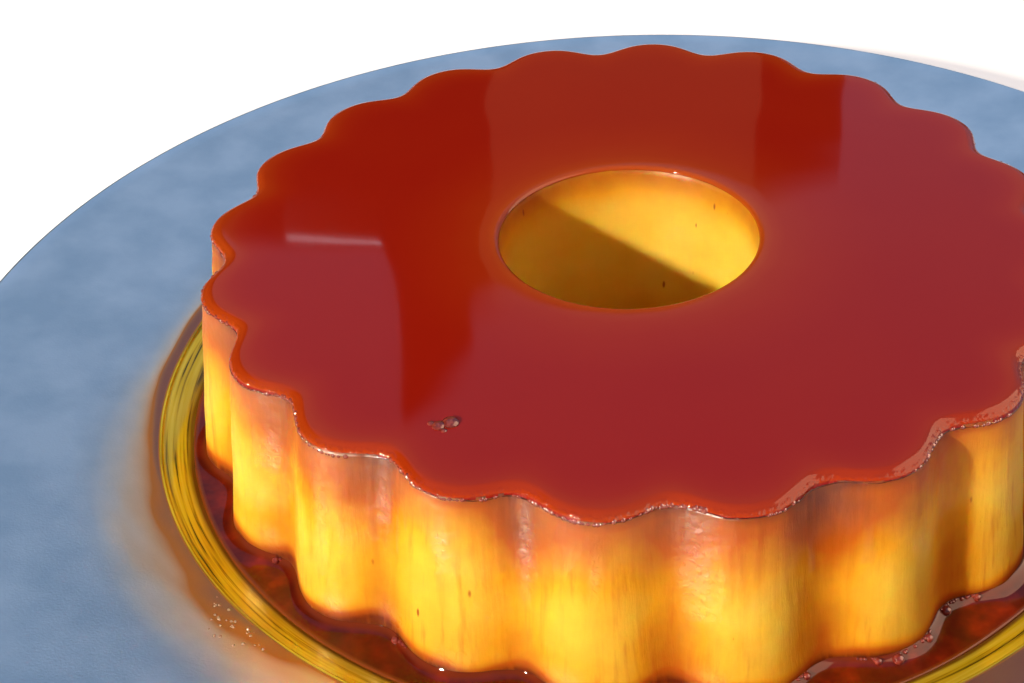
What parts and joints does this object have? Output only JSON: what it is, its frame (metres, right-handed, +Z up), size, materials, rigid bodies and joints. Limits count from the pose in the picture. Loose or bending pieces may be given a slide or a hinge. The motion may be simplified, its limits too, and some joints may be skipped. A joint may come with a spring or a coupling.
{
  "type": "creme caramel flan on a plate",
  "caption": "Fluted ring creme caramel turned out on a round steel plate, with a caramel layer on top and loose caramel in the well.",
  "frame": {"origin": "centre of the plate's flat underside", "axes": "+Z up through the flan; +X to the right and +Y away as seen from the front"},
  "size_m": [0.359, 0.359, 0.0515],
  "materials": {
    "plate_steel": "satin pressed stainless steel, cool grey",
    "custard": "moist baked egg custard, bright yellow, stained orange by caramel at its edges",
    "caramel_layer": "wet, mirror-smooth dark red caramel",
    "caramel_sauce": "wet, glossy dark brown-red caramel syrup"
  },
  "bodies": {
    "root": {"plate": "plate_steel", "flan_custard": "custard", "caramel_top": "caramel_layer", "caramel_sauce": "caramel_sauce", "caramel_sauce_in_hole": "caramel_sauce"}
  },
  "joints": []
}
